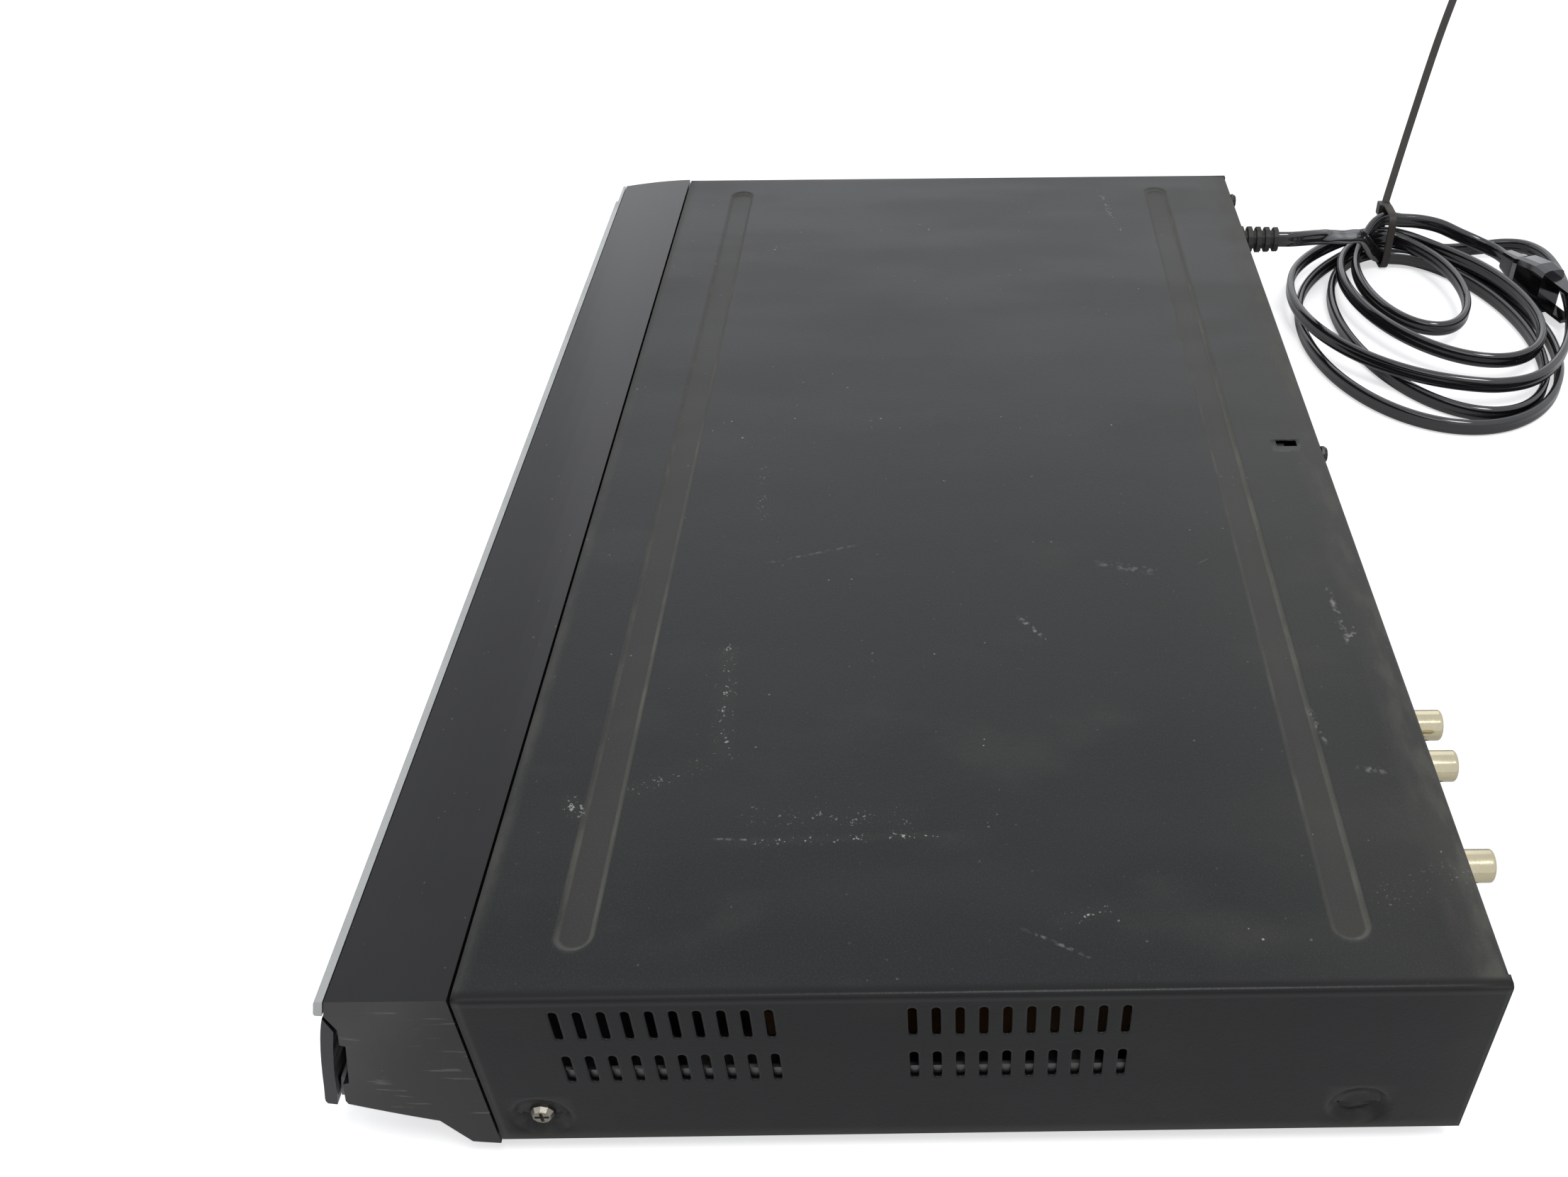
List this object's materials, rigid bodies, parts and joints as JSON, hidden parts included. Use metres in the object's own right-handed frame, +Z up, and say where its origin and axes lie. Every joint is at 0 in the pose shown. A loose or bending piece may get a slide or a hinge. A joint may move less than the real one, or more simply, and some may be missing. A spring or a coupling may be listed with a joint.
{
  "type": "dvd recorder",
  "caption": "Slim disc recorder: folded vented steel case, moulded front with a flip-down door, disc loader, rear sockets and tied mains cord.",
  "frame": {"origin": "on the floor under the middle of the case's box, cord left out", "axes": "+X to the right seen from the front, +Y to the rear, +Z up"},
  "size_m": [0.5335, 0.4281, 0.1191],
  "materials": {
    "black_paint": "satin",
    "black_plastic": "glossy",
    "silver_trim": "satin",
    "grey_plastic": "matt",
    "smoked_window": "glossy",
    "bare_steel": "satin",
    "nickel": "bright",
    "rubber": "matt",
    "brown_board": "satin",
    "white_plastic": "satin",
    "yellow_tape": "satin",
    "lens_glass": "glossy",
    "cord_black": "satin",
    "tie_brown": "matt"
  },
  "bodies": {
    "case": {"top_cover": "black_paint", "rear_panel": "black_paint", "front_bezel": "black_plastic", "front_fascia": "black_plastic", "front_jacks": "black_plastic", "drive_chassis": "black_plastic", "rear_jack_block": "black_plastic", "fan_frame": "black_plastic", "front_trim": "silver_trim", "display_window": "smoked_window", "chassis_base": "bare_steel", "side_screw_left": "bare_steel", "side_screw_right": "bare_steel", "rear_screw_left": "bare_steel", "rear_screw_middle": "bare_steel", "clamp_bridge": "bare_steel", "loading_motor": "bare_steel", "heat_sink": "bare_steel", "hdmi_socket": "bare_steel", "aerial_block": "bare_steel", "phono_jack_1": "nickel", "phono_jack_2": "nickel", "phono_jack_3": "nickel", "foot_front_left": "rubber", "foot_front_right": "rubber", "foot_rear_left": "rubber", "foot_rear_right": "rubber", "loading_belt": "rubber", "strain_relief": "rubber", "main_board": "brown_board", "power_board": "brown_board", "transformer": "yellow_tape", "display_unit": "lens_glass", "cord_run": "cord_black", "cord_coil": "cord_black", "plug": "cord_black", "cable_tie": "tie_brown"},
    "door": {"front_door": "black_plastic", "door_hinge": "grey_plastic"},
    "tray": {"disc_tray": "black_plastic", "tray_front": "black_plastic"},
    "clamp": {"disc_clamp": "white_plastic"},
    "traverse": {"traverse_frame": "grey_plastic", "spindle_motor": "bare_steel", "guide_rod_left": "bare_steel", "guide_rod_right": "bare_steel"},
    "table": {"turntable": "black_plastic"},
    "sled": {"pickup_sled": "grey_plastic"},
    "feed_screw": {"lead_screw": "bare_steel"},
    "drive_wheel": {"drive_gear": "white_plastic"},
    "belt_wheel": {"pulley_gear": "white_plastic"},
    "motor_wheel": {"motor_pulley": "white_plastic"},
    "fan": {"fan_rotor": "black_plastic"},
    "power": {"power_button": "grey_plastic"},
    "eject": {"eject_button": "grey_plastic"},
    "play": {"play_button": "grey_plastic"},
    "stop": {"stop_button": "grey_plastic"},
    "record": {"record_button": "grey_plastic"},
    "channel_up": {"channel_up_button": "grey_plastic"},
    "channel_down": {"channel_down_button": "grey_plastic"}
  },
  "joints": [
    {"name": "tray_slide", "type": "slide", "parent": "case", "child": "tray", "axis": [0, -1, 0], "range_m": [0, 0.132]},
    {"name": "drive_gear_spin", "type": "hinge", "parent": "case", "child": "drive_wheel", "pos_m": [-0.122, -0.09665, 0.036], "axis": [0, 0, 1], "range_deg": [0, 842]},
    {"name": "pulley_gear_spin", "type": "hinge", "parent": "case", "child": "belt_wheel", "pos_m": [-0.1028, -0.09665, 0.031], "axis": [0, 0, 1], "range_deg": [-2524, 0]},
    {"name": "motor_pulley_spin", "type": "hinge", "parent": "case", "child": "motor_wheel", "pos_m": [-0.0668, -0.09665, 0.029], "axis": [0, 0, 1], "range_deg": [-9370, 0]},
    {"name": "door_hinge_turn", "type": "hinge", "parent": "case", "child": "door", "pos_m": [0.153, -0.13234, 0.02136], "axis": [1, 0, 0], "range_deg": [0, 90]},
    {"name": "clamp_spin", "type": "hinge", "parent": "case", "child": "clamp", "pos_m": [-0.075, -0.06085, 0.048], "axis": [0, 0, 1], "continuous": true},
    {"name": "traverse_tilt", "type": "hinge", "parent": "case", "child": "traverse", "pos_m": [-0.075, 0.02415, 0.0325], "axis": [1, 0, 0], "range_deg": [0, 6]},
    {"name": "turntable_spin", "type": "hinge", "parent": "traverse", "child": "table", "pos_m": [-0.075, -0.06085, 0.0415], "axis": [0, 0, 1], "continuous": true},
    {"name": "pickup_slide", "type": "slide", "parent": "traverse", "child": "sled", "axis": [0, 1, 0], "range_m": [0, 0.034]},
    {"name": "feed_screw_spin", "type": "hinge", "parent": "traverse", "child": "feed_screw", "pos_m": [-0.047, -0.01, 0.0325], "axis": [0, 1, 0], "range_deg": [0, 1776]},
    {"name": "fan_spin", "type": "hinge", "parent": "case", "child": "fan", "pos_m": [-0.112, 0.12, 0.0332], "axis": [0, 1, 0], "continuous": true},
    {"name": "power_press", "type": "slide", "parent": "case", "child": "power", "axis": [0, 1, 0], "range_m": [0, 0.0012], "stiffness_N_per_m": 400},
    {"name": "eject_press", "type": "slide", "parent": "case", "child": "eject", "axis": [0, 1, 0], "range_m": [0, 0.0012], "stiffness_N_per_m": 400},
    {"name": "play_press", "type": "slide", "parent": "case", "child": "play", "axis": [0, 1, 0], "range_m": [0, 0.0012], "stiffness_N_per_m": 400},
    {"name": "stop_press", "type": "slide", "parent": "case", "child": "stop", "axis": [0, 1, 0], "range_m": [0, 0.0012], "stiffness_N_per_m": 400},
    {"name": "record_press", "type": "slide", "parent": "case", "child": "record", "axis": [0, 1, 0], "range_m": [0, 0.0012], "stiffness_N_per_m": 400},
    {"name": "channel_up_press", "type": "slide", "parent": "case", "child": "channel_up", "axis": [0, 1, 0], "range_m": [0, 0.0012], "stiffness_N_per_m": 400},
    {"name": "channel_down_press", "type": "slide", "parent": "case", "child": "channel_down", "axis": [0, 1, 0], "range_m": [0, 0.0012], "stiffness_N_per_m": 400}
  ],
  "couplings": [
    {"joint": "drive_gear_spin", "follows": "tray_slide", "rad_per_m": 111.11},
    {"joint": "pulley_gear_spin", "follows": "tray_slide", "rad_per_m": -333.33},
    {"joint": "motor_pulley_spin", "follows": "tray_slide", "rad_per_m": -1238.1},
    {"joint": "feed_screw_spin", "follows": "pickup_slide", "rad_per_m": 910.61}
  ]
}
